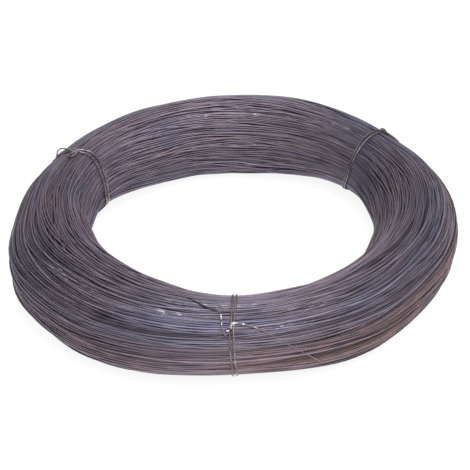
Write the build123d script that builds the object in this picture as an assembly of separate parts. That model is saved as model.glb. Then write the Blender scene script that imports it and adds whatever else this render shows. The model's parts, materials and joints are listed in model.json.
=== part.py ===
from build123d import *
import os
from math import cos, pi, radians, sin

os.makedirs("parts", exist_ok=True)

# Driving dimensions of the coil, in millimetres and degrees.
# The coil lies flat: Z is the coil's axis, the origin is on that axis at floor level.
bore_diameter = 280.0
bundle_width = 85.0
bundle_height = 86.0
foot_shoulder = 0.78
bore_wear = 3.0
foot_wear = 1.2
turns_on_crown = 10
turns_per_foot_shoulder = 3
groove_depth = 2.4

# The ring lies a little out of round: oval, off centre, bulging at two places and thicker on one side.
# Angles are about Z, from +X.
oval_swing = 8.7
oval_angle = 39.0
off_centre = 0.8
off_centre_angle = 270.0
bulge_angles = (198.0, 300.0)
bulge_half_angle = 28.0
bulge_reach = 4.0
tall_share = 0.07
tall_angle = 172.0

# The ties draw the bundle in to a waist. The bore is drawn in over a shorter way than the outside.
tie_angles = {"front_tie": -91.5, "right_tie": 36.5, "left_tie": 155.5}
outer_waist_half_angle = 47.0
bore_waist_half_angle = 15.0
waist_pull = 8.0
bore_pull = 7.0
waist_share = 0.18
waist_lift = 10.0
stations_per_span = 16

# Each tie is a doubled wire, closed by a twisted knot that lies against the turns. A tie is bent by hand,
# so its bends and its twist are short straight runs between kinks.
tie_wire_diameter = 1.9
tie_wire_sides = 6
tie_clearance = 0.3
strand_pitch = 3.2
twist_pitch = 7.0
twist_turns = 1.5
twist_gap = 0.1
knot_angles = {"front_tie": 54.0, "right_tie": 68.0, "left_tie": 92.0}
knot_lean_angle = 6.0
knot_lift = 1.2
kinks_per_bend = 5
kinks_per_turn = 8

# Sizes that follow from the ones above.
bore_radius = bore_diameter / 2
outer_radius = bore_radius + bundle_width
half_height = bundle_height / 2
tie_wire_radius = tie_wire_diameter / 2


def angle_gap(angle, other):
    return abs((angle - other + 180) % 360 - 180)


def nearness(angle, places, half_angle):
    """A smooth hump: 1 at each of the places, falling to 0 at the half angle from it."""
    gaps = [angle_gap(angle, place) for place in places]
    return sum((1 + cos(pi * gap / half_angle)) / 2 for gap in gaps if gap < half_angle)


def waist_at(angle):
    return nearness(angle, tie_angles.values(), outer_waist_half_angle)


def outer_wall(angle):
    swing = oval_swing * cos(2 * radians(angle - oval_angle))
    shift = off_centre * cos(radians(angle - off_centre_angle))
    bulge = bulge_reach * nearness(angle, bulge_angles, bulge_half_angle)
    return outer_radius + swing + shift + bulge - waist_pull * waist_at(angle)


def bore_wall(angle):
    drawn_in = nearness(angle, tie_angles.values(), bore_waist_half_angle)
    return bore_radius - bore_wear + (bore_pull + bore_wear) * drawn_in


def half_height_at(angle):
    taller = 1 + tall_share * cos(radians(angle - tall_angle))
    return half_height * taller * (1 - waist_share * waist_at(angle))


def lift_at(angle):
    return waist_lift * waist_at(angle) - foot_wear


def arc_points(centre, size, start, end, count):
    """Points round part of an ellipse, both ends included."""
    steps = [radians(start + (end - start) * n / count) for n in range(count + 1)]
    return [(centre[0] + size[0] * cos(a), centre[1] + size[1] * sin(a)) for a in steps]


def outline_points(width, height):
    """Grooves between the turns round a section of these half sizes: the crown, then both foot shoulders."""
    shoulder = (width * foot_shoulder, height * foot_shoulder)
    inner = (shoulder[0] - width, shoulder[1] - height)
    outer = (width - shoulder[0], shoulder[1] - height)
    points = arc_points((0, 0), (width, height), 0, 180, turns_on_crown)
    points += arc_points(inner, shoulder, 180, 270, turns_per_foot_shoulder)
    points += arc_points(outer, shoulder, 270, 360, turns_per_foot_shoulder)
    return points


def turn_crest(start, end):
    """Where a bulge between two grooves stands highest."""
    run = Vector(*end) - Vector(*start)
    outward = Vector(run.Y, -run.X).normalized()
    middle = (Vector(*start) + Vector(*end)) / 2 + outward * groove_depth
    return (middle.X, middle.Y)


def bundle_size(angle):
    """Half width, half height and centre of the bundle at an angle: X outwards from the coil's axis, Y up."""
    width = (outer_wall(angle) - bore_wall(angle)) / 2
    height = half_height_at(angle)
    return width, height, Vector(bore_wall(angle) + width, height + lift_at(angle))


def bundle_section(angle):
    """The bundle's cross-section at an angle round the ring."""
    width, height, centre = bundle_size(angle)
    points = outline_points(width - groove_depth, height - groove_depth)
    corners = []
    for start, end in zip(points, points[1:] + points[:1]):
        corners += [start, turn_crest(start, end)]
    return radial_plane(angle) * (Pos(centre.X, centre.Y) * make_face(Polyline(*corners, close=True)))


def radial_plane(angle):
    """The upright plane through the coil's axis at an angle: X outwards, Y up."""
    turned = radians(angle)
    return Plane(origin=(0, 0, 0), x_dir=(cos(turned), sin(turned), 0), z_dir=(sin(turned), -cos(turned), 0))


def span(start_angle, end_angle):
    """The bundle from one tie to the next, with its sections closer together near the ties."""
    sections = []
    for station in range(stations_per_span + 1):
        share = (1 - cos(pi * station / stations_per_span)) / 2
        sections.append(bundle_section(start_angle + (end_angle - start_angle) * share))
    return loft(sections)


def wire_coil():
    """The wound wire as one ring, worn true in its bore and flat on its foot."""
    angles = sorted(tie_angles.values())
    spans = [span(start, end) for start, end in zip(angles, angles[1:] + [angles[0] + 360])]
    ring = spans[0].fuse(*spans[1:], glue=True)
    bore = Cylinder(bore_radius, 4 * bundle_height)
    floor = Pos(0, 0, -bundle_height) * Box(6 * outer_radius, 6 * outer_radius, 2 * bundle_height)
    return ring - bore - floor


def tie_size(name):
    """Half sizes and centre of a tie in its radial plane, measured to its centre line."""
    angle = tie_angles[name]
    stand_off = tie_clearance + tie_wire_radius
    width, height, centre = bundle_size(angle)
    return width + stand_off, height + stand_off, centre


def bend_points(corner, radius, start):
    """Where a wire round a quarter bend is kinked, so that its straight runs touch the bend from outside."""
    step = 90 / kinks_per_bend
    reach = radius / cos(radians(step / 2))
    turned = [radians(start + (kink + 0.5) * step) for kink in range(kinks_per_bend)]
    return [corner + Vector(cos(angle), sin(angle)) * reach for angle in turned]


def tie_path(name):
    """Centre line of a tie in its radial plane: round over the crown, squarer at the foot."""
    width, height, centre = tie_size(name)
    crown = min(width, height)
    foot = min(width, height) * foot_shoulder
    points = [centre + Vector(width, (foot - crown) / 2)]
    points += bend_points(centre + Vector(width - crown, height - crown), crown, 0)
    points += bend_points(centre + Vector(crown - width, height - crown), crown, 90)
    points += bend_points(centre + Vector(foot - width, foot - height), foot, 180)
    points += bend_points(centre + Vector(width - foot, foot - height), foot, 270)
    return Polyline(*points, close=True).wire()


def tie_shoulder(name):
    """Point on the tie's centre line, and its outward and downward directions, where the knot lies."""
    width, height, centre = tie_size(name)
    crown = min(width, height)
    turned = radians(knot_angles[name])
    outward = Vector(cos(turned), sin(turned))
    corner = centre + Vector(width - crown, height - crown)
    return corner + outward * crown, outward, Vector(outward.Y, -outward.X)


def wire_section():
    return RegularPolygon(tie_wire_radius, tie_wire_sides, major_radius=True)


def sweep_wire(path):
    """A length of the tie's wire along short straight runs, mitred at its kinks."""
    first = path.edges()[0]
    section = Plane(origin=first @ 0, z_dir=first % 0) * wire_section()
    return sweep(section, path=path, transition=Transition.RIGHT)


def ring_strand(name, side):
    """One of the tie's two wires round the bundle, in the XY plane, to one side of its middle."""
    return sweep_wire(Pos(0, 0, side * strand_pitch / 2) * tie_path(name))


def twist_wire(phase):
    """One wire of the knot, wound along Z round the other in short straight runs."""
    radius = tie_wire_radius + twist_gap / 2
    line = Helix(pitch=twist_pitch, height=twist_pitch * twist_turns, radius=radius)
    kinks = round(kinks_per_turn * twist_turns)
    path = Polyline(*[line @ (kink / kinks) for kink in range(kinks + 1)]).wire()
    return Rot(0, 0, phase) * sweep_wire(path)


def twist_fold():
    """The bend that joins the two wires at the end of the knot."""
    radius = tie_wire_radius + twist_gap / 2
    section = Pos(radius, 0) * wire_section()
    return Pos(0, 0, twist_pitch * twist_turns) * revolve(section, axis=Axis.Y, revolution_arc=-180)


def knot(name):
    point, outward, down = tie_shoulder(name)
    lean = radians(knot_lean_angle)
    axis = down * cos(lean) + outward * sin(lean)
    place = Plane(origin=point + outward * knot_lift, x_dir=(0, 0, 1), z_dir=axis)
    return [place * piece for piece in (twist_wire(0), twist_wire(180), twist_fold())]


def tie(name):
    pieces = [ring_strand(name, -1), ring_strand(name, 1)] + knot(name)
    return radial_plane(tie_angles[name]) * pieces[0].fuse(*pieces[1:])


export_step(wire_coil(), "parts/wire_coil.step")
for tie_name in tie_angles:
    export_step(tie(tie_name), f"parts/{tie_name}.step")
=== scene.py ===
import json
import math
import bpy
import numpy as np
from mathutils import Matrix, Vector


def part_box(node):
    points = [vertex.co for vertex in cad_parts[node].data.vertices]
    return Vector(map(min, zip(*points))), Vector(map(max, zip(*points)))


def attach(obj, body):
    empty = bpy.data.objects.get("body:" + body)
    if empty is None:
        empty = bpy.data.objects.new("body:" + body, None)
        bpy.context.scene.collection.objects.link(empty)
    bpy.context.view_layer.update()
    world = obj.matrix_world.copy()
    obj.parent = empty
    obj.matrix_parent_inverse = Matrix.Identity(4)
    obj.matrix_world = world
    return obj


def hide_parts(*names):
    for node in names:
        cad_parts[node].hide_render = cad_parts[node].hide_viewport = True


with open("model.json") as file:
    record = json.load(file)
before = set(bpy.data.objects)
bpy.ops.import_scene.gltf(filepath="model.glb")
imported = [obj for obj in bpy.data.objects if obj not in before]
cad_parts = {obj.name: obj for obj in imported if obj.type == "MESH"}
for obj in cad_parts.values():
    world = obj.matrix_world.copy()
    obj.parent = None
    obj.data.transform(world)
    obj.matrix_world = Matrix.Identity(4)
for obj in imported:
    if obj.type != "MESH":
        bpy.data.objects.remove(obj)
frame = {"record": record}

mm = 0.001
fullTurn = 2 * math.pi
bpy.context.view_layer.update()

# the bore comes from its mount and the bundle's size from the ring's own box
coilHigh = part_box("wire_coil")[1]
mounts = {mount["name"]: mount for mount in frame["record"]["mounts"]}
boreRadius = mounts["bore"]["dims"]["r_mm"] * mm
proud = 0.8 * mm             # how far single turns stand out of the bundle's outline
halfWidth = (coilHigh.x - boreRadius - proud) / 2
halfHeight = coilHigh.z / 2 - 2 * proud
ringRadius = boreRadius + halfWidth

# how the bundle runs round its ring, with angles in degrees about Z from +X, as all angles here are
bundle = {
    "roundTop": 1.88,            # 2 is an ellipse, more is squarer
    "roundFoot": 2.5,
    "waists": {                  # place, how far drawn in, how far lifted off the floor
        "front_tie": (-91.7, 0.18, 0.23),
        "right_tie": (36.5, 0.20, 0.23),
        "left_tie": (155.5, 0.15, 0.29),
    },
    "waistWidth": 28,
    "oval": (3.4, 32),           # millimetres out of round, and where it bulges
    "fatter": (0.13, 44),        # share wider at two opposite places
    "wider": (0.022, -8),        # share wider on one side
    "taller": (0.07, 172),       # share higher on one side
    "bulges": [                  # place, spread, millimetres further out, millimetres further in
        (303, 16, 2.2, -2.2), (203, 14, 4.2, -1.8), (158, 9, -3.5, -0.5), (34, 9, -2.5, -1.0),
        (127, 13, 3.8, 4.0), (78, 22, -1.6, 2.2), (181, 9, -2.0, -4.0), (324, 12, -1.5, -2.2),
        (270, 14, -0.6, -1.4),
    ],
    "stations": 128,             # points on each turn
    "sectionSteps": 800,         # even steps round the section's outline
    "fineSteps": 4000,           # the uneven ones that they are read from
    "slopeSteps": 3,             # even steps to each side, over which its direction is read
    "outlineShare": 1.03,        # the outline's length as a share of an ellipse's
}

# the turns that show, with lengths in millimetres
turns = {
    "wire": 1.65,
    "sides": 6,
    "bedding": 150,              # wires side by side in the layer below
    "grouped": 300,
    "single": 150,               # laid last, in the hollows that are left
    "groupSize": (2, 11),
    "pitch": (1.0, 1.15),        # in wire widths
    "sway": (7.0, 4.2, 2.6, 1.4, 0.7),       # how a group swings sideways, once, twice ... round the ring
    "stray": (0.6, 0.45, 0.35, 0.25, 0.2),   # the same for one wire in its group
    "singleSway": 0.5,           # how much of a group's swing a single wire has
    "tries": 24,
    "nestle": 1.1,               # how far a wire slips sideways to lie lower
    "slipPlaces": 5,             # places that it weighs up over that width
    "slipRounds": 3,
    "slipPull": 0.25,            # how much lower a place is that counts e times as much
    "slipSmoothing": 10,
    "bendSmoothing": 5,
    "squeeze": 0.5,              # how much flatter the layers are under a tie
    "fullSqueeze": 0.18,         # how far drawn in the bundle is where that is reached
    "level": 80,                 # the share of the surface, in percent, that lies inside the outline
    "batches": 5,
    "seed": 41,
    "traceStep": 0.37,           # keeps the streaks of one wire apart from the next one's
}


def angleGap(a, b):
    return (a - b + math.pi) % fullTurn - math.pi


def nearness(angle, place, width):
    return np.exp(-(angleGap(angle, math.radians(place)) / math.radians(width)) ** 2)


def smooth(values, times, axis=0):
    for _ in range(times):
        values = (np.roll(values, 1, axis) + 2 * values + np.roll(values, -1, axis)) / 4
    return values


def ringShape(angle):
    # ring radius, half width and half height of the bundle, its lift off the floor and its waist
    size = np.ones_like(angle)
    lift = np.zeros_like(angle)
    for place, pinch, rise in bundle["waists"].values():
        near = nearness(angle, place, bundle["waistWidth"])
        size = size - pinch * near
        lift = lift + rise * near
    swing, swingPlace = bundle["oval"]
    fat, fatPlace = bundle["fatter"]
    wide, widePlace = bundle["wider"]
    tall, tallPlace = bundle["taller"]
    radius = ringRadius + swing * mm * np.cos(2 * (angle - math.radians(swingPlace)))
    fatness = fat * np.cos(2 * (angle - math.radians(fatPlace)))
    fatness = fatness + wide * np.cos(angle - math.radians(widePlace))
    width = halfWidth * size * (1 + fatness)
    for place, spread, outwards, inwards in bundle["bulges"]:
        near = nearness(angle, place, spread) * mm / 2
        radius = radius + near * (outwards - inwards)
        width = width + near * (outwards + inwards)
    height = halfHeight * size * (1 + tall * np.cos(angle - math.radians(tallPlace)))
    return radius, width, height, lift * halfHeight, size


def squashAt(angle):
    # how thick the layers are, as a share of their thickness away from the ties
    size = ringShape(angle)[4]
    return 1 - turns["squeeze"] * np.clip((1 - size) / turns["fullSqueeze"], 0, 1) ** 2


def makeSection():
    # the outline of the bundle's section, as even steps along it for a bundle of size one
    t = np.linspace(0, fullTurn, bundle["fineSteps"] + 1)
    c, s = np.cos(t), np.sin(t)
    power = np.where(s >= 0, 2 / bundle["roundTop"], 2 / bundle["roundFoot"])
    x = np.sign(c) * np.abs(c) ** power
    y = np.sign(s) * np.abs(s) ** power
    run = np.concatenate([[0], np.cumsum(np.hypot(np.diff(x), np.diff(y)))])
    even = np.linspace(0, run[-1], bundle["sectionSteps"] + 1)[:-1]
    px, py = np.interp(even, run, x), np.interp(even, run, y)
    reach = bundle["slopeSteps"]
    dx = np.roll(px, -reach) - np.roll(px, reach)
    dy = np.roll(py, -reach) - np.roll(py, reach)
    return px, py, dx / np.hypot(dx, dy), dy / np.hypot(dx, dy)


sectionX, sectionY, alongX, alongY = makeSection()
girth = fullTurn * math.sqrt((halfWidth ** 2 + halfHeight ** 2) / 2) / mm * bundle["outlineShare"]
stepSize = girth / bundle["sectionSteps"]
sectionPhi = np.degrees(np.arctan2(sectionY, sectionX)) % 360
theta = np.linspace(0, fullTurn, bundle["stations"], endpoint=False)


def fromTable(table, place):
    at = place / girth * len(table) % len(table)
    low = np.floor(at).astype(int) % len(table)
    mix = at - np.floor(at)
    return table[low] * (1 - mix) + table[(low + 1) % len(table)] * mix


def placeOf(phi):
    # millimetres along the section's outline for an angle round the bundle
    gap = np.abs((sectionPhi[None, :] - np.atleast_1d(phi)[:, None] + 180) % 360 - 180)
    return gap.argmin(1) * stepSize


def bundlePoints(angle, place, height):
    # points at ring angles, at millimetres round the section and at metres over its outline
    radius, width, tall, lift, _ = ringShape(angle)
    nx, ny = fromTable(alongY, place) * tall, -fromTable(alongX, place) * width
    length = np.hypot(nx, ny)
    out = radius + fromTable(sectionX, place) * width + nx / length * height
    z = tall + lift + fromTable(sectionY, place) * tall + ny / length * height
    return np.stack([out * np.cos(angle), out * np.sin(angle), z], axis=-1)


def layTurns():
    # one wire after another goes round the section, laid over those below it; heights are smoothed and
    # squeezed, so wires cut into each other, mostly by less than half a wire
    rng = np.random.default_rng(turns["seed"])
    radius = turns["wire"] / 2
    reach = int(radius / stepSize)
    offsets = np.arange(-reach, reach + 1)
    dome = np.sqrt(np.maximum(radius ** 2 - (offsets * stepSize) ** 2, 0))
    surface = np.zeros((bundle["stations"], bundle["sectionSteps"]))
    rows = np.arange(bundle["stations"])[:, None]

    def restOf(path):
        at = np.round(path / stepSize).astype(int)
        cells = (at[:, None] + offsets[None, :]) % bundle["sectionSteps"]
        return (surface[rows, cells] + dome[None, :]).max(1), cells

    def waves(sizes):
        total = np.zeros_like(theta)
        for k, size in enumerate(sizes, 1):
            total += size * (rng.normal() * np.cos(k * theta) + rng.normal() * np.sin(k * theta))
        return total / math.sqrt(2)

    def slip(path):
        # a wire slides sideways into the hollows beside it
        shifts = np.linspace(-1, 1, turns["slipPlaces"]) * turns["nestle"]
        for _ in range(turns["slipRounds"]):
            heights = np.stack([restOf(path + shift)[0] for shift in shifts])
            weights = np.exp((heights.min(0) - heights) / turns["slipPull"])
            move = (weights * shifts[:, None]).sum(0) / weights.sum(0)
            path = path + smooth(move, turns["slipSmoothing"])
        return path

    laid = []

    def lay(path, group):
        path = slip(path)
        height, cells = restOf(path)
        between = (np.roll(height, 1) + np.roll(height, -1)) / 2
        height = smooth(np.maximum(height, between), turns["bendSmoothing"])
        surface[rows, cells] = np.maximum(surface[rows, cells], height[:, None] + dome[None, :])
        laid.append((path, height, group))

    def layGroup(count, sway):
        pitch = rng.uniform(*turns["pitch"]) * turns["wire"]
        starts = rng.uniform(0, girth, turns["tries"])
        costs = [
            np.mean([restOf(start + sway + n * pitch)[0].mean() for n in range(count)])
            for start in starts
        ]
        group = rng.uniform()
        for n in range(count):
            lay(starts[int(np.argmin(costs))] + sway + n * pitch + waves(turns["stray"]), group)

    smallest, largest = turns["groupSize"]
    for n in range(turns["bedding"]):
        lay(n * girth / turns["bedding"] + waves(turns["stray"]), rng.uniform())
    while len(laid) < turns["bedding"] + turns["grouped"]:
        layGroup(int(rng.integers(smallest, largest + 1)), waves(turns["sway"]))
    for _ in range(turns["single"]):
        layGroup(1, waves(turns["sway"]) * turns["singleSway"])
    level = float(np.percentile(surface, turns["level"]))
    print("turns laid", len(laid), "level", round(level, 2), "highest", round(float(surface.max()), 2))
    return laid, surface, level


# places that are rusty, blued, rubbed pale with painted glints, brighter as painted light, darker as painted
# shade and partly dirt, or more even than the rest:
# ring angle, angle round the bundle, how far each spreads both ways, and how strong it is
stains = {
    "rust": [
        (292, -18, 48, 24, 0.75), (318, -6, 20, 14, 0.5), (345, 5, 24, 14, 0.6), (8, 20, 16, 12, 0.5),
        (236, -12, 22, 16, 0.45), (298, 12, 14, 8, 0.4), (138, 99, 30, 10, 0.35), (265, 12, 30, 8, 0.3),
        (186, 95, 14, 14, 0.2), (120, 172, 22, 8, 0.2),
    ],
    "blue": [
        (292, 46, 42, 14, 0.9), (258, 54, 14, 8, 0.6), (340, 70, 26, 24, 0.7), (20, 160, 24, 16, 0.6),
        (240, 34, 22, 14, 0.5), (122, 142, 30, 26, 0.7), (205, 125, 26, 16, 0.4), (45, 60, 20, 20, 0.3),
        (80, 160, 24, 20, 0.5),
    ],
    # pale rubbed wire, partly painted glints where highlights lie
    "paleWearAndGlint": [
        (252.5, 63, 6, 4, 1.0), (289, 65, 4, 3, 1.0), (283, 42, 6, 3, 0.7), (305, 17, 4, 3, 0.9),
        (105, 122, 5, 3, 1.0), (84, 120, 6, 4, 0.6), (51, 102, 8, 4, 0.5), (262, 85, 16, 6, 0.4),
        (112, 78, 8, 5, 0.5), (222, 60, 10, 5, 0.4),
    ],
    # painted light: places made brighter where the lamps fall fuller, such as the far inner wall
    "light": [
        (130, 140, 28, 46, 1.0), (104, 118, 16, 20, 0.6), (250, 56, 22, 12, 0.5), (68, 80, 22, 30, 0.35),
        (292, 62, 14, 10, 0.3), (165, 150, 14, 30, 0.3),
    ],
    # painted shade, partly dirt: places made darker, such as the left outer side and the inner wall by the
    # right tie
    "shadeAndDirt": [
        (190, 30, 24, 50, 0.7), (318, -10, 28, 18, 0.6), (5, 140, 26, 38, 0.7), (15, 175, 20, 20, 0.4),
        (352, 80, 20, 24, 0.4),
    ],
    "even": [                    # where one wire differs little from the next
        (105, 140, 60, 80, 0.95), (60, 70, 40, 40, 0.5), (10, 140, 36, 50, 0.55), (190, 40, 32, 70, 0.65),
    ],
}


def stainAt(kind, angle, phi):
    total = np.zeros(np.broadcast(angle, phi).shape)
    for ringPlace, turnPlace, ringSpread, turnSpread, strength in stains[kind]:
        near = nearness(angle, ringPlace, ringSpread)
        total += strength * near * nearness(np.radians(phi), turnPlace, turnSpread)
    return np.clip(total, 0, 1)


def paintPoints(mesh, marks, trace):
    # what the wire's material reads: tone, which holds painted light and shade, hue, rust and pale wear with
    # painted glints, and the run along the wire
    colours = mesh.attributes.new("marks", "FLOAT_COLOR", "POINT")
    colours.data.foreach_set("color", marks.astype(np.float32).ravel())
    runs = mesh.attributes.new("trace", "FLOAT_VECTOR", "POINT")
    runs.data.foreach_set("vector", trace.astype(np.float32).ravel())


def makeTubes(name, paths, radius, sides, marks):
    # closed round wires from centre lines, with their marks and their run along the wire on each point
    turn = np.linspace(0, fullTurn, sides, endpoint=False)
    verts, faces, paint, trace = [], [], [], []
    start = 0
    for number, (path, mark) in enumerate(zip(paths, marks)):
        count = len(path)
        along = np.roll(path, -1, 0) - np.roll(path, 1, 0)
        along /= np.linalg.norm(along, axis=1)[:, None]
        side = np.cross(along, [0, 0, 1.0])
        side /= np.linalg.norm(side, axis=1)[:, None]
        up = np.cross(side, along)
        ring = np.cos(turn)[None, :, None] * side[:, None, :] + np.sin(turn)[None, :, None] * up[:, None, :]
        verts.append((path[:, None, :] + radius * ring).reshape(-1, 3))
        i = np.arange(count)[:, None]
        j = np.arange(sides)[None, :]
        ahead = (i + 1) % count * sides
        faces.append(np.stack([
            start + i * sides + j, start + ahead + j, start + ahead + (j + 1) % sides,
            start + i * sides + (j + 1) % sides,
        ], axis=-1).reshape(-1, 4))
        run = np.concatenate([[0], np.cumsum(np.linalg.norm(np.diff(path, axis=0), axis=1))])
        half = run[-1] / 2
        beside = np.full(count, number * turns["traceStep"])
        loop = np.stack([half - np.abs(run - half), beside, np.zeros(count)], axis=-1)
        trace.append(np.repeat(loop, sides, axis=0))
        paint.append(np.repeat(mark, sides, axis=0))
        start += count * sides
    mesh = bpy.data.meshes.new(name)
    mesh.from_pydata(np.concatenate(verts).tolist(), [], np.concatenate(faces).tolist())
    mesh.update()
    paintPoints(mesh, np.concatenate(paint), np.concatenate(trace))
    mesh.shade_smooth()
    piece = bpy.data.objects.new(name, mesh)
    bpy.context.scene.collection.objects.link(piece)
    return piece


# colours are the wire's own, before light, but for the rubbed colour, which is partly a painted glint
finish = {
    "blued": (0.112, 0.112, 0.168, 1),
    "purple": (0.148, 0.121, 0.162, 1),
    "rosy": (0.178, 0.125, 0.146, 1),
    "rust": (0.218, 0.128, 0.112, 1),
    # rubbed bright wire, partly painted glints
    "rubbedAndGlint": (0.66, 0.64, 0.70, 1),
    "metallic": 0.5,
    "roughness": (0.36, 0.58),
    "toneRange": (0.3, 1.95),
    "tone": 0.425,               # the mean, as a share of that range
    "groupTone": 0.14,
    "wireTone": 0.15,
    # how much the pale places, partly painted glints, lift the tone
    "paleWearAndGlintTone": 0.15,
    "streakTone": (0.74, 1.26),  # along a wire
    "hue": 0.48,                 # 0 is blued, 1 is rosy
    "purpleHue": 0.5,
    "groupHue": 0.45,
    "wireHue": 0.09,
    "blueHue": 0.4,              # how far blue and rust move the hue
    "rustHue": 0.3,
    "hueShuffle": 7.3,           # keeps a group's hue from following its tone
    "rustShare": (0.4, 1.1),     # how much of a stain one wire takes
    "blueShare": (0.5, 1),
    "paintedLightLift": 0.34,             # how far the painted light and the painted shade, partly dirt, move the tone
    "shadeAndDirtDrop": 0.17,
    "blotch": (11, 3),           # scale and detail of each noise
    "streak": (60, 3),
    "fleck": (150, 2),
    "grain": (1400, 2),
    "blotchHue": (0.35, 0.65, -0.2, 0.2),    # from and to in the noise, then what it becomes
    "scaly": (0.4, 0.6, 0.35, 1.0),
    "streakSpan": (0.3, 0.7),
    "fleckSpan": (0.52, 0.66),
    "grainStrength": 0.25,
    "grainDepth": 0.1,
}


def addNode(nodes, kind, **settings):
    node = nodes.new(kind)
    for key, value in settings.items():
        setattr(node, key, value)
    return node


def newMaterial(name):
    material = bpy.data.materials.new(name)
    material.use_nodes = True
    tree = material.node_tree
    return material, tree.nodes, tree.links, tree.nodes["Principled BSDF"]


def mixColour(nodes, links, factor, first, second):
    mix = addNode(nodes, "ShaderNodeMix", data_type="RGBA")
    links.new(factor, mix.inputs["Factor"])
    for socket, value in ((mix.inputs["A"], first), (mix.inputs["B"], second)):
        if isinstance(value, tuple):
            socket.default_value = value
        else:
            links.new(value, socket)
    return mix.outputs["Result"]


def rangeOf(nodes, links, value, low, high, bottom, top):
    node = nodes.new("ShaderNodeMapRange")
    for socket, number in (("From Min", low), ("From Max", high), ("To Min", bottom), ("To Max", top)):
        node.inputs[socket].default_value = number
    links.new(value, node.inputs["Value"])
    return node.outputs["Result"]


def maths(nodes, links, operation, first, second):
    node = addNode(nodes, "ShaderNodeMath", operation=operation)
    for socket, value in zip(node.inputs, (first, second)):
        if isinstance(value, (int, float)):
            socket.default_value = value
        else:
            links.new(value, socket)
    return node.outputs[0]


def noiseAt(nodes, links, vector, scale, detail):
    node = nodes.new("ShaderNodeTexNoise")
    node.inputs["Scale"].default_value = scale
    node.inputs["Detail"].default_value = detail
    links.new(vector, node.inputs["Vector"])
    return node.outputs["Fac"]


def wireMaterial(name):
    material, nodes, links, shader = newMaterial(name)
    marks = addNode(nodes, "ShaderNodeAttribute", attribute_name="marks")
    trace = addNode(nodes, "ShaderNodeAttribute", attribute_name="trace").outputs["Vector"]
    where = nodes.new("ShaderNodeTexCoord").outputs["Object"]
    split = nodes.new("ShaderNodeSeparateColor")
    links.new(marks.outputs["Color"], split.inputs["Color"])
    tone, hue, rust = split.outputs["Red"], split.outputs["Green"], split.outputs["Blue"]
    paleWearAndGlint = marks.outputs["Alpha"]

    blotch = rangeOf(nodes, links, noiseAt(nodes, links, where, *finish["blotch"]), *finish["blotchHue"])
    streak = noiseAt(nodes, links, trace, *finish["streak"])
    fleck = noiseAt(nodes, links, trace, *finish["fleck"])

    tint = maths(nodes, links, "ADD", hue, blotch)
    cool = rangeOf(nodes, links, tint, 0, finish["purpleHue"], 0, 1)
    warm = rangeOf(nodes, links, tint, finish["purpleHue"], 1, 0, 1)
    colour = mixColour(nodes, links, cool, finish["blued"], finish["purple"])
    colour = mixColour(nodes, links, warm, colour, finish["rosy"])
    rusty = maths(nodes, links, "MULTIPLY", rust, rangeOf(nodes, links, streak, *finish["scaly"]))
    colour = mixColour(nodes, links, rusty, colour, finish["rust"])
    dull = rangeOf(nodes, links, streak, *finish["streakSpan"], *finish["streakTone"])
    bright = rangeOf(nodes, links, tone, 0, 1, *finish["toneRange"])
    scaled = addNode(nodes, "ShaderNodeVectorMath", operation="SCALE")
    links.new(colour, scaled.inputs[0])
    links.new(maths(nodes, links, "MULTIPLY", bright, dull), scaled.inputs["Scale"])
    # rubbed pale flecks, partly painted glints
    wearAndGlint = maths(nodes, links, "MULTIPLY", paleWearAndGlint, rangeOf(nodes, links, fleck, *finish["fleckSpan"], 0, 1))
    colour = mixColour(nodes, links, wearAndGlint, scaled.outputs["Vector"], finish["rubbedAndGlint"])
    links.new(colour, shader.inputs["Base Color"])
    rough = rangeOf(nodes, links, streak, *finish["streakSpan"], *finish["roughness"])
    links.new(rough, shader.inputs["Roughness"])
    shader.inputs["Metallic"].default_value = finish["metallic"]

    grain = nodes.new("ShaderNodeBump")
    grain.inputs["Strength"].default_value = finish["grainStrength"]
    grain.inputs["Distance"].default_value = finish["grainDepth"] * mm
    links.new(noiseAt(nodes, links, where, *finish["grain"]), grain.inputs["Height"])
    links.new(grain.outputs["Normal"], shader.inputs["Normal"])
    return material


def makeTurns(laid, level):
    rng = np.random.default_rng(turns["seed"] + 1)
    squash = squashAt(theta)
    paths, marks = [], []
    for path, height, group in laid:
        points = bundlePoints(theta, path, (height - level) * squash * mm)
        points[:, 2] = np.maximum(points[:, 2], turns["wire"] / 2 * mm)
        phi = fromTable(np.unwrap(sectionPhi, period=360), path % girth) % 360
        here = {kind: stainAt(kind, theta, phi) for kind in stains}
        swing = finish["groupTone"] * (group - 0.5) + finish["wireTone"] * rng.normal()
        tone = finish["tone"] + swing * (1 - here["even"])
        groupHue = finish["groupHue"] * ((group * finish["hueShuffle"]) % 1 - 0.5)
        hue = finish["hue"] + groupHue + finish["wireHue"] * rng.normal()
        rust = here["rust"] * rng.uniform(*finish["rustShare"])
        blue = here["blue"] * rng.uniform(*finish["blueShare"])
        # painted light and painted shade, partly dirt, moved into the tone
        patch = finish["paintedLightLift"] * here["light"] - finish["shadeAndDirtDrop"] * here["shadeAndDirt"]
        # pale wear with painted glints lifts the tone too
        tone = tone + patch + finish["paleWearAndGlintTone"] * here["paleWearAndGlint"]
        hue = hue - finish["blueHue"] * blue + finish["rustHue"] * rust
        paths.append(points)
        marks.append(np.stack([np.clip(tone, 0, 1), np.clip(hue, 0, 1), rust, here["paleWearAndGlint"]], axis=-1))
    material = wireMaterial("annealedWire")
    radius = turns["wire"] * mm / 2
    each = math.ceil(len(paths) / turns["batches"])
    for n in range(turns["batches"]):
        part = slice(n * each, (n + 1) * each)
        piece = makeTubes(f"wire_turns_{n + 1}", paths[part], radius, turns["sides"], marks[part])
        piece.data.materials.append(material)
        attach(piece, "root")
        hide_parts("wire_coil")
    print("turns made", len(paths))
    return material


hidden = {
    "steps": (120, 48),          # round the ring and round the bundle
    "depth": 1.7,                # millimetres over the bottom of the layers that show
    # far darker than the wire's own colour, as painted shade in the gaps between the turns above
    "colour": (0.035, 0.030, 0.038, 1),
    "roughness": 0.7,
}


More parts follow.
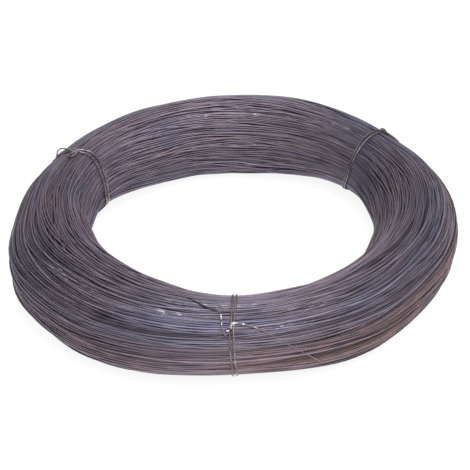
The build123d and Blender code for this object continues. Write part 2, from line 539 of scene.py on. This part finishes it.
def makeHiddenTurns(level):
    # the turns below those that show, as one ring, coloured far darker than the wire itself: painted shade
    # in the gaps between the turns above
    bpy.ops.object.select_all(action="DESELECT")
    bpy.ops.mesh.primitive_torus_add(
        major_segments=hidden["steps"][0], minor_segments=hidden["steps"][1],
        major_radius=ringRadius, minor_radius=halfWidth,
    )
    core = bpy.context.active_object
    core.name = "hidden_turns"
    points = np.array([vertex.co for vertex in core.data.vertices])
    angle = np.arctan2(points[:, 1], points[:, 0])
    phi = np.degrees(np.arctan2(points[:, 2], np.hypot(points[:, 0], points[:, 1]) - ringRadius)) % 360
    low = np.full(len(points), -(level - hidden["depth"]) * mm)
    for vertex, point in zip(core.data.vertices, bundlePoints(angle, placeOf(phi), low)):
        vertex.co = point
    bpy.ops.object.shade_smooth()
    material, _, _, shader = newMaterial("hiddenWireShade")
    shader.inputs["Base Color"].default_value = hidden["colour"]
    shader.inputs["Roughness"].default_value = hidden["roughness"]
    core.data.materials.append(material)
    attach(core, "root")
    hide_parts("wire_coil")
    print("hidden turns made")


# ties: points are ring angle, angle round the bundle and millimetres over the turns
ties = {
    "wire": 1.9,
    "points": 72,
    "twistSteps": 24,
    "taut": 7.0,                 # the strands bridge hollows narrower than this
    "tautSmoothing": 3,          # rounds for each step of half that width
    "knots": {
        "front_tie": {
            "strands": [         # how bright it is rubbed, partly a painted highlight, then its points
                (0.0, [
                    (268.6, 112), (268.4, 75), (268.4, 57), (267.8, 42), (268.1, 0), (268.4, 335),
                    (268.3, 250), (268.6, 180),
                ]),
                (0.1, [
                    (269.8, 112), (269.4, 75), (269.0, 57), (268.8, 42), (269.0, 0), (269.4, 335),
                    (269.5, 250), (269.8, 180),
                ]),
            ],
            "twist": [(269.1, 54.5, 2.0), (267.3, 41.5, 2.4)],     # where the knot starts and ends
            "turns": 1.8,
            "swell": 1.05,       # its two wires touch at 1
            # how bright the knot is rubbed, partly a painted highlight
            "rubbedAndGlint": 1.0,
            "plain": (0.200, 0.160, 0.168, 1),                     # where it isn't rusty
            "tails": [           # thickness, how bright it is rubbed, partly a painted highlight, then its points
                (1.5, 0.1, [
                    (267.6, 42, 2.4), (267.2, 37, 2.0), (266.6, 37, 1.6), (266.1, 44, 1.6), (266.0, 50, 1.6),
                ]),
                (1.3, 0.75, [(266.0, 49, 1.5), (265.8, 57, 1.7), (265.7, 64, 1.5), (265.5, 69, 1.1)]),
                (1.3, 0.1, [(265.5, 68, 1.1), (265.3, 72, 0.9), (264.2, 74, 0.3)]),
            ],
        },
        "right_tie": {
            "strands": [
                (0.0, [
                    (40.1, 224), (35.1, 182), (35.0, 150), (36.0, 130), (36.9, 117), (37.5, 101),
                    (37.9, 75), (37.8, 30), (38.0, 330), (39.0, 270),
                ]),
                (0.12, [
                    (39.0, 224), (34.1, 182), (34.0, 150), (34.9, 130), (35.4, 116), (36.1, 99),
                    (37.0, 75), (36.6, 30), (36.8, 330), (37.8, 270),
                ]),
            ],
            "twist": [(38.0, 76, 1.6), (36.9, 60, 2.6)],
            "turns": 1.5,
            "swell": 1.1,
            "rubbedAndGlint": 0.0,
            "plain": (0.120, 0.098, 0.125, 1),
            "tails": [
                (2.1, 0.0, [
                    (37.0, 62, 2.6), (36.0, 60, 2.2), (34.8, 56, 1.6), (33.8, 53, 1.1), (33.0, 50, 0.6),
                    (32.0, 48, 0.0),
                ]),
                (1.6, 0.0, [(37.6, 68, 2.4), (38.4, 62, 3.6), (37.4, 56, 3.8), (36.2, 60, 2.2)]),
            ],
        },
        "left_tie": {
            "strands": [
                (0.15, [
                    (153.5, 210), (154.9, 178), (154.1, 156), (153.3, 137), (153.9, 119), (154.7, 107),
                    (155.9, 92), (155.0, 30), (155.0, 330), (153.5, 270),
                ]),
                (0.05, [
                    (155.0, 210), (156.9, 175), (156.2, 155), (155.6, 136), (155.9, 121), (156.3, 109),
                    (157.2, 92), (156.2, 30), (156.2, 330), (155.0, 270),
                ]),
            ],
            "twist": [(156.6, 98, 1.8), (160.6, 89, 2.0)],
            "turns": 1.6,
            "swell": 1.15,
            "rubbedAndGlint": 0.0,
            "plain": (0.240, 0.208, 0.225, 1),
            "tails": [
                (1.5, 0.2, [
                    (157.5, 93, 2.2), (157.3, 86, 2.2), (157.2, 78, 3.4), (157.0, 69, 5.4), (156.5, 59, 5.8),
                    (156.0, 49, 4.6), (155.6, 40, 2.6), (155.4, 31, 0.8),
                ]),
                (1.7, 0.0, [(157.0, 95, 2.4), (159.2, 101, 3.4), (161.8, 97, 3.0), (161.6, 90, 1.8)]),
            ],
        },
    },
}

# the coil's own two ends, which come up among the turns at the front
looseEnds = {
    "wire": 1.65,
    "beside": 0.5,               # their place among the streaks
    "right": {
        "route": [
            (269.0, 54, 2.0), (270.6, 53, 1.8), (272.5, 49.5, 1.3), (274.5, 45.5, 0.4), (277, 37, -0.6),
            (280, 24, -0.5), (284.7, 2, -0.5), (290.2, -26, -0.8),
        ],
        "marks": (0.48, 0.8, 0.2),           # tone, hue and rust
        "rubbedAndGlint": 3.0,                       # how bright its left end is rubbed, partly a painted highlight
        "rubbedAndGlintShare": 0.34,                 # how much of its width that fades over
    },
    "left": {
        "route": [
            (255.5, 99, -0.8), (258, 90, 0.1), (260.2, 82.5, 0.4), (262.5, 75.5, 0.5), (265, 72, 0.5),
            (269, 71.5, 0.3), (273, 71.5, 0.2), (276.5, 71.5, -0.6),
        ],
        # rusty and at the darkest tone, which also paints the shade of the gap that it lies in
        "marks": (0.0, 0.7, 0.6),
        "rubbedAndGlint": 0.0,
        "rubbedAndGlintShare": 0.3,
    },
}


def pull(surface, level):
    # height over the outline of the turns below a tie at each angle, as a taut wire would meet them
    height = (surface - level) * squashAt(theta)[:, None]
    reach = int(ties["taut"] / stepSize / 2)
    top = height.copy()
    for shift in range(1, reach + 1):
        top = np.maximum(top, np.maximum(np.roll(height, shift, 1), np.roll(height, -shift, 1)))
    top = smooth(top, reach * ties["tautSmoothing"], 1)
    return np.maximum(top, np.maximum(np.roll(top, 1, 0), np.roll(top, -1, 0)))


def onTurns(skin, points):
    points = np.array(points, dtype=float)
    angle = np.radians(points[:, 0])
    place = placeOf(points[:, 1] % 360)
    row = np.round(angle / fullTurn * bundle["stations"]).astype(int) % bundle["stations"]
    column = np.round(place / stepSize).astype(int) % bundle["sectionSteps"]
    return bundlePoints(angle, place, (skin[row, column] + points[:, 2]) * mm)


smoothWire = {"bevel": 2, "order": 3, "steps": 3}


def wireCurve(points, closed=False, rubbedAndGlint=0.0, thickness=ties["wire"]):
    # a length of wire along points, as a mesh, with how bright it is rubbed, partly as a painted highlight,
    # on each point
    curve = bpy.data.curves.new("wireLength", "CURVE")
    curve.dimensions = "3D"
    curve.bevel_depth = thickness / 2 * mm
    curve.bevel_resolution = smoothWire["bevel"]
    curve.use_fill_caps = True
    spline = curve.splines.new("NURBS")
    spline.points.add(len(points) - 1)
    for spot, point in zip(spline.points, points):
        spot.co = (*point, 1)
    spline.order_u = smoothWire["order"]
    spline.use_endpoint_u = not closed
    spline.use_cyclic_u = closed
    spline.resolution_u = smoothWire["steps"]
    piece = bpy.data.objects.new("wireLength", curve)
    bpy.context.scene.collection.objects.link(piece)
    bpy.ops.object.select_all(action="DESELECT")
    piece.select_set(True)
    bpy.context.view_layer.objects.active = piece
    bpy.ops.object.convert(target="MESH")
    bright = piece.data.attributes.new("rubbedAndGlint", "FLOAT", "POINT")
    bright.data.foreach_set("value", np.full(len(piece.data.vertices), rubbedAndGlint, dtype=np.float32))
    return piece


tieFinish = {
    "rusty": (0.092, 0.066, 0.078, 1),
    # rubbed bright wire, partly painted highlights
    "rubbedAndGlint": (0.80, 0.78, 0.84, 1),
    "patch": (90, 3),            # scale and detail of each noise
    "fleck": (420, 2),
    "patchSpan": (0.4, 0.62),    # from and to in the noise
    "fleckSpan": (0.46, 0.54),
    "roughSpan": (0.3, 0.7),
    "roughness": (0.5, 0.34),
    "metallic": 0.5,
}


def tieMaterial(name):
    material, nodes, links, shader = newMaterial(name + "Wire")
    where = nodes.new("ShaderNodeTexCoord").outputs["Object"]
    patches = noiseAt(nodes, links, where, *tieFinish["patch"])
    bright = addNode(nodes, "ShaderNodeAttribute", attribute_name="rubbedAndGlint").outputs["Fac"]
    flecks = noiseAt(nodes, links, where, *tieFinish["fleck"])
    flecks = rangeOf(nodes, links, flecks, *tieFinish["fleckSpan"], 0, 1)
    clean = rangeOf(nodes, links, patches, *tieFinish["patchSpan"], 0, 1)
    colour = mixColour(nodes, links, clean, tieFinish["rusty"], ties["knots"][name]["plain"])
    # rubbed bright flecks, partly painted highlights
    wearAndGlint = maths(nodes, links, "MULTIPLY", bright, flecks)
    colour = mixColour(nodes, links, wearAndGlint, colour, tieFinish["rubbedAndGlint"])
    links.new(colour, shader.inputs["Base Color"])
    rough = rangeOf(nodes, links, patches, *tieFinish["roughSpan"], *tieFinish["roughness"])
    links.new(rough, shader.inputs["Roughness"])
    shader.inputs["Metallic"].default_value = tieFinish["metallic"]
    return material


def makeLooseEnd(side, skin, material):
    # an end of the coil's wire, with the same marks on its points as the turns have
    end = looseEnds[side]
    piece = wireCurve(onTurns(skin, end["route"]), thickness=looseEnds["wire"])
    piece.name = f"loose_end_{side}"
    bpy.ops.object.shade_smooth()
    spots = np.array([vertex.co for vertex in piece.data.vertices])
    share = (spots[:, 0] - spots[:, 0].min()) / np.ptp(spots[:, 0])
    # its rubbed left end, partly a painted highlight
    paleWearAndGlint = end["rubbedAndGlint"] * np.clip(1 - share / end["rubbedAndGlintShare"], 0, 1)
    same = np.tile(end["marks"], (len(spots), 1))
    beside = np.full(len(spots), looseEnds["beside"])
    run = np.stack([spots[:, 0], beside, np.zeros(len(spots))], axis=-1)
    paintPoints(piece.data, np.column_stack([same, paleWearAndGlint]), run)
    piece.data.materials.clear()
    piece.data.materials.append(material)
    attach(piece, "root")
    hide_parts("wire_coil")
    print("loose end made", side)


def makeTie(name, skin):
    tie = ties["knots"][name]
    radius = ties["wire"] / 2
    phi = np.linspace(0, 360, ties["points"], endpoint=False)
    parts = []
    for rubbedAndGlint, strand in tie["strands"]:
        angle, place = np.array(strand, dtype=float).T
        turned = np.interp(phi, place, angle, period=360)
        line = onTurns(skin, np.stack([turned, phi, np.full(len(phi), radius)], axis=-1))
        parts.append(wireCurve(line, closed=True, rubbedAndGlint=rubbedAndGlint))
    first, last = onTurns(skin, tie["twist"])
    axis = Vector(last - first)
    frameTurn = axis.to_track_quat("Z", "Y")
    for phase in (0, math.pi):
        coil = []
        for n in range(ties["twistSteps"] + 1):
            share = n / ties["twistSteps"]
            turned = phase + share * tie["turns"] * fullTurn
            swing = Vector((math.cos(turned), math.sin(turned), 0)) * radius * tie["swell"] * mm
            coil.append(Vector(first) + axis * share + frameTurn @ swing)
        parts.append(wireCurve(coil, rubbedAndGlint=tie["rubbedAndGlint"]))
    for thickness, rubbedAndGlint, tail in tie["tails"]:
        parts.append(wireCurve(onTurns(skin, tail), rubbedAndGlint=rubbedAndGlint, thickness=thickness))
    bpy.ops.object.select_all(action="DESELECT")
    for part in parts:
        part.select_set(True)
    bpy.context.view_layer.objects.active = parts[0]
    bpy.ops.object.join()
    whole = bpy.context.active_object
    whole.name = name + "_wires"
    bpy.ops.object.shade_smooth()
    whole.data.materials.clear()
    whole.data.materials.append(tieMaterial(name))
    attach(whole, "root")
    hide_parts(name)
    print("tie made", name)


studio = {
    "elevation": 34.44,
    "distance": 1.439,
    "lens": 108.0,
    "sensor": 36,
    "roll": -1.53,
    "shift": (-0.0006, -0.0257),
    "floorSize": 12,
    "floorColour": (0.85, 0.85, 0.85, 1),
    "floorSeen": (0.16, 0.16, 0.16, 1),      # its colour for the camera, which keeps the shadow faint
    "floorGlow": 0.9,
    "floorRoughness": 0.9,
    "white": (1, 1, 1, 1),
    "world": 0.14,               # its strength on the coil; the camera sees it at 1
    "lamps": {                   # place in metres, size, watts
        "key": ((0.29, -2.04, 2.95), 1.8, 102),
        "top": ((0.0, -0.13, 3.6), 1.6, 50),
        "side": ((2.03, 0.36, 2.95), 1.6, 32),
        "back": ((0.0, 3.3, 1.5), 2.0, 20),
    },
}


def makeCamera():
    scene = bpy.context.scene
    scene.view_settings.view_transform = "Standard"
    data = bpy.data.cameras.new("camera")
    camera = bpy.data.objects.new("camera", data)
    scene.collection.objects.link(camera)
    up = math.radians(studio["elevation"])
    target = Vector((0, 0, halfHeight))
    camera.location = target + studio["distance"] * Vector((0, -math.cos(up), math.sin(up)))
    aim = (target - camera.location).to_track_quat("-Z", "Y").to_matrix().to_4x4()
    camera.rotation_euler = (aim @ Matrix.Rotation(math.radians(studio["roll"]), 4, "Z")).to_euler()
    data.lens = studio["lens"]
    data.sensor_width = studio["sensor"]
    data.shift_x, data.shift_y = studio["shift"]
    scene.camera = camera


def makeFloor():
    bpy.ops.object.select_all(action="DESELECT")
    bpy.ops.mesh.primitive_plane_add(size=studio["floorSize"])
    floor = bpy.context.active_object
    floor.name = "floor"
    material, nodes, links, shader = newMaterial("paleFloor")
    shader.inputs["Roughness"].default_value = studio["floorRoughness"]
    shader.inputs["Specular IOR Level"].default_value = 0
    light = nodes.new("ShaderNodeLightPath").outputs
    colour = mixColour(nodes, links, light["Is Camera Ray"], studio["floorColour"], studio["floorSeen"])
    links.new(colour, shader.inputs["Base Color"])
    seen = maths(nodes, links, "MAXIMUM", light["Is Camera Ray"], light["Is Glossy Ray"])
    links.new(maths(nodes, links, "MULTIPLY", seen, studio["floorGlow"]), shader.inputs["Emission Strength"])
    shader.inputs["Emission Color"].default_value = studio["white"]
    floor.data.materials.append(material)


def makeWorld():
    world = bpy.data.worlds.new("studio")
    bpy.context.scene.world = world
    world.use_nodes = True
    nodes, links = world.node_tree.nodes, world.node_tree.links
    background = nodes["Background"]
    background.inputs["Color"].default_value = studio["white"]
    seen = nodes.new("ShaderNodeLightPath").outputs["Is Camera Ray"]
    links.new(rangeOf(nodes, links, seen, 0, 1, studio["world"], 1), background.inputs["Strength"])


def makeLamps():
    for name, (place, size, power) in studio["lamps"].items():
        lamp = bpy.data.lights.new(name, "AREA")
        lamp.size = size
        lamp.energy = power
        holder = bpy.data.objects.new(name, lamp)
        bpy.context.scene.collection.objects.link(holder)
        holder.location = place
        holder.rotation_euler = (-Vector(place)).to_track_quat("-Z", "Y").to_euler()


laidTurns, turnSurface, turnLevel = layTurns()
turnWire = makeTurns(laidTurns, turnLevel)
makeHiddenTurns(turnLevel)
tieSkin = pull(turnSurface, turnLevel)
for endSide in ("left", "right"):
    makeLooseEnd(endSide, tieSkin, turnWire)
for tieName in ties["knots"]:
    makeTie(tieName, tieSkin)
makeCamera()
makeFloor()
makeWorld()
makeLamps()
print("studio made")
